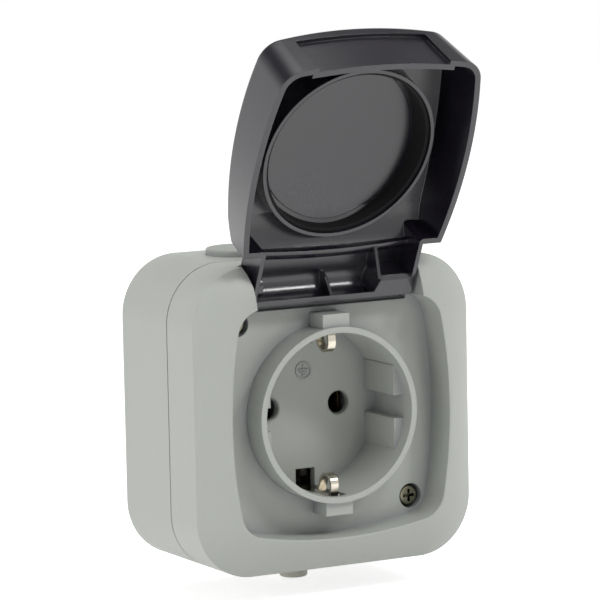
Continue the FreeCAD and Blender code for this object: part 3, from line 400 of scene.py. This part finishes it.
class SOCKET_OT_dress_metal(bpy.types.Operator):
    """Finishes screws, pins, contacts and clips in plated steel and brass"""
    bl_idname = "socket.dress_metal"
    bl_label = "Dress metal"

    def execute(self, context):
        finish = context.scene.socket_finish
        zinc = worked_metal("zinc_plating", finish.zinc_colour, roughness=0.36, streaks=EVEN_STREAKS,
                            recess=0.0012, tarnish=0.55)
        nickel = worked_metal("nickel_plating", finish.nickel_colour, roughness=0.2,
                              streaks=ROLLED_STREAKS, recess=0.0016, tarnish=0.15)
        brass = worked_metal("stamped_brass", finish.brass_colour, roughness=0.32,
                             streaks=STAMPED_STREAKS, recess=0.006, tarnish=0.3)
        spring = worked_metal("spring_steel", finish.spring_colour, roughness=0.3,
                              streaks=STAMPED_STREAKS, recess=0.006, tarnish=0.3)
        dress(zinc, "cover_screws", "carrier_screws", "terminal_screws", "terminal_nuts", "clamp_plates",
              "hinge_pin_left", "hinge_pin_right")
        dress(nickel, "earth_bracket")
        dress(brass, "live_contact", "neutral_contact")
        dress(spring, "live_contact_spring", "neutral_contact_spring")
        return {"FINISHED"}


class SOCKET_OT_build_stage(bpy.types.Operator):
    """Builds the pale floor, the lamps, the world and the camera"""
    bl_idname = "socket.build_stage"
    bl_label = "Build stage"

    def execute(self, context):
        stage = context.scene.socket_stage
        build_floor(context, stage)
        build_lamps(context)
        build_world(context, stage)
        build_camera(context, stage)
        context.scene.view_settings.view_transform = "Standard"
        return {"FINISHED"}


# Stage

def seen_directly(nodes, links):
    """One for what the camera, mirror-like surfaces and clear things see, zero for soft light."""
    path = add_node(nodes, "ShaderNodeLightPath").outputs
    mirrored = add_math(nodes, links, "MAXIMUM", path["Is Camera Ray"], path["Is Glossy Ray"])
    return add_math(nodes, links, "MAXIMUM", mirrored, path["Is Transmission Ray"])


def build_floor(context, stage):
    """White floor that stays white to the camera and keeps a soft shadow of the object."""
    mesh = bpy.data.meshes.new("floor")
    form = bmesh.new()
    place = Matrix.Translation((0, -FLOOR_FORWARD, stage.floor_height))
    bmesh.ops.create_grid(form, x_segments=1, y_segments=1, size=FLOOR_SIZE, matrix=place)
    form.to_mesh(mesh)
    form.free()
    floor = bpy.data.objects.new("floor", mesh)
    context.scene.collection.objects.link(floor)
    material, nodes, links = new_material("white_floor")
    shader = nodes["Principled BSDF"]
    shader.inputs["Base Color"].default_value = (*FLOOR_COLOUR, 1)
    shader.inputs["Roughness"].default_value = FLOOR_ROUGHNESS
    shader.inputs["Emission Color"].default_value = (*WHITE, 1)
    lift = add_span(nodes, links, seen_directly(nodes, links), 0.0, 1.0, 0.0, stage.floor_lift)
    links.new(lift, shader.inputs["Emission Strength"])
    mesh.materials.append(material)


def build_lamps(context):
    for name, place, size, power in LAMPS:
        data = bpy.data.lights.new(name, "AREA")
        data.size = size
        data.energy = power
        lamp = bpy.data.objects.new(name, data)
        context.scene.collection.objects.link(lamp)
        lamp.location = place
        lamp.rotation_euler = (Vector(LAMP_AIM) - Vector(place)).to_track_quat("-Z", "Y").to_euler()


def studio_walls(nodes, links):
    """White low walls under a darker ceiling, for what shines. The camera sees white all round."""
    place = add_node(nodes, "ShaderNodeTexCoord")
    height = add_node(nodes, "ShaderNodeSeparateXYZ")
    links.new(place.outputs["Generated"], height.inputs[0])
    wall = add_span(nodes, links, height.outputs["Z"], WALL_FOOT, WALL_HEAD, 1.0, CEILING_STRENGTH)
    camera = add_node(nodes, "ShaderNodeLightPath").outputs["Is Camera Ray"]
    return add_math(nodes, links, "MAXIMUM", camera, wall)


def build_world(context, stage):
    """Even soft light, with a background of its own for what is seen directly."""
    world = bpy.data.worlds.new("studio")
    context.scene.world = world
    world.use_nodes = True
    nodes, links = world.node_tree.nodes, world.node_tree.links
    lit = nodes["Background"]
    lit.inputs["Color"].default_value = (*WHITE, 1)
    lit.inputs["Strength"].default_value = stage.sky_strength
    seen = add_node(nodes, "ShaderNodeBackground")
    seen.inputs["Color"].default_value = (*WHITE, 1)
    links.new(studio_walls(nodes, links), seen.inputs["Strength"])
    mix = add_node(nodes, "ShaderNodeMixShader")
    links.new(seen_directly(nodes, links), mix.inputs[0])
    links.new(lit.outputs[0], mix.inputs[1])
    links.new(seen.outputs[0], mix.inputs[2])
    links.new(mix.outputs[0], nodes["World Output"].inputs["Surface"])


def build_camera(context, stage):
    """Places the camera from its angles round the target."""
    around, up_angle = stage.azimuth, stage.elevation
    back = Vector((math.sin(around) * math.cos(up_angle), -math.cos(around) * math.cos(up_angle),
                   math.sin(up_angle)))
    right = (-back).cross(Vector((0, 0, 1))).normalized()
    up = right.cross(-back)
    turned = Matrix.Rotation(stage.roll, 3, back)
    axes = Matrix((turned @ right, turned @ up, back)).transposed()
    data = bpy.data.cameras.new("photo_camera")
    data.lens = stage.lens
    data.sensor_width = SENSOR_WIDTH
    data.clip_end = VIEW_END
    camera = bpy.data.objects.new("photo_camera", data)
    context.scene.collection.objects.link(camera)
    place = Matrix.Translation(Vector(stage.target) + back * stage.distance)
    camera.matrix_world = place @ axes.to_4x4()
    context.scene.camera = camera


class SOCKET_PT_panel(bpy.types.Panel):
    """Lists the steps that finish the socket"""
    bl_label = "Weatherproof socket"
    bl_idname = "SOCKET_PT_panel"
    bl_space_type = "VIEW_3D"
    bl_region_type = "UI"
    bl_category = "Socket"

    def draw(self, context):
        for step in STEPS:
            self.layout.operator(step.bl_idname)
        for name in SocketFinish.__annotations__:
            self.layout.prop(context.scene.socket_finish, name)
        for name in SocketStage.__annotations__:
            self.layout.prop(context.scene.socket_stage, name)


STEPS = (SOCKET_OT_dress_housing, SOCKET_OT_dress_lid, SOCKET_OT_dress_rubber, SOCKET_OT_dress_metal,
         SOCKET_OT_build_stage)
CLASSES = (SocketFinish, SocketStage) + STEPS + (SOCKET_PT_panel,)


def register():
    for item in CLASSES:
        bpy.utils.register_class(item)
    bpy.types.Scene.socket_finish = PointerProperty(type=SocketFinish)
    bpy.types.Scene.socket_stage = PointerProperty(type=SocketStage)


def unregister():
    del bpy.types.Scene.socket_stage
    del bpy.types.Scene.socket_finish
    for item in reversed(CLASSES):
        bpy.utils.unregister_class(item)


def main():
    register()
    bpy.ops.socket.dress_housing()
    bpy.ops.socket.dress_lid()
    bpy.ops.socket.dress_rubber()
    bpy.ops.socket.dress_metal()
    bpy.ops.socket.build_stage()


if __name__ == "__main__":
    main()
